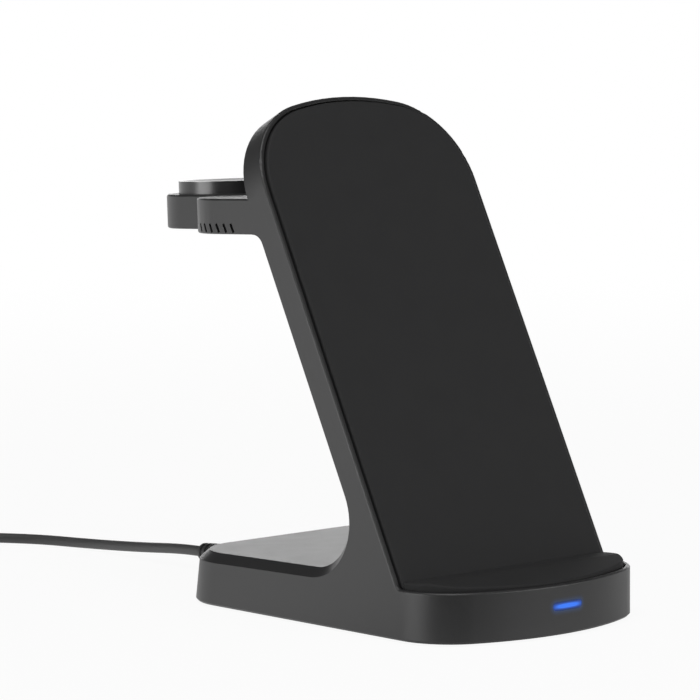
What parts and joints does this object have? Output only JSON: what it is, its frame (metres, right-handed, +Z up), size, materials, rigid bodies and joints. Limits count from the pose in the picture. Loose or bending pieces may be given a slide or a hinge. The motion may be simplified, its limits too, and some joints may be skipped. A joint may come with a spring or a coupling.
{
  "type": "three in one wireless charger",
  "caption": "Charging stand with a leaning phone panel over a soft ledge, an open earbud deck behind it, a watch arm with a dished puck, and a lead.",
  "frame": {"origin": "on the table under the middle of the stand, its lead left out", "axes": "+Z up, the front of the stand faces -Y, +X to the right seen from the front"},
  "size_m": [0.1073, 0.2997, 0.139],
  "materials": {
    "shell": "fine matt moulded black plastic",
    "soft": "soft-touch charcoal surface",
    "cover": "fine textured black plastic",
    "rubber": "black rubber",
    "screw": "plated steel",
    "copper": "enamelled copper winding",
    "ferrite": "dark grey magnetic sheet",
    "carrier": "grey plastic plate",
    "puck": "satin black plastic",
    "magnet": "nickel plated magnet",
    "board": "green circuit board",
    "socket": "stamped steel shell",
    "contact": "black plastic insert",
    "light": "clear slot window lit blue",
    "led": "blue light chip",
    "steel": "plain steel plate",
    "cord": "smooth black cord sheath",
    "plug": "matt black moulded plug",
    "tie": "black strap"
  },
  "bodies": {
    "root": {"body_shell": "shell", "bottom_cover": "cover", "rubber_feet": "rubber", "cover_screws": "screw", "arm_cover": "cover", "arm_screws": "screw", "front_panel": "soft", "ledge_pad": "soft", "upper_phone_coil": "copper", "lower_phone_coil": "copper", "phone_shield": "ferrite", "coil_carrier": "carrier", "carrier_screws": "screw", "earbud_coil": "copper", "earbud_shield": "ferrite", "puck_housing": "puck", "puck_cap": "puck", "puck_shield": "ferrite", "puck_coil": "copper", "puck_magnet": "magnet", "main_board": "board", "board_screws": "screw", "power_socket": "socket", "socket_tongue": "contact", "light_pipe": "light", "status_led": "led", "status_board": "board", "weight_plate": "steel", "plug_shell": "socket", "plug_grip": "plug", "lead_cable": "cord", "lead_coil": "cord", "lead_tie": "tie", "lead_tail": "cord", "supply_plug_grip": "plug", "supply_plug_shell": "socket"}
  },
  "joints": []
}
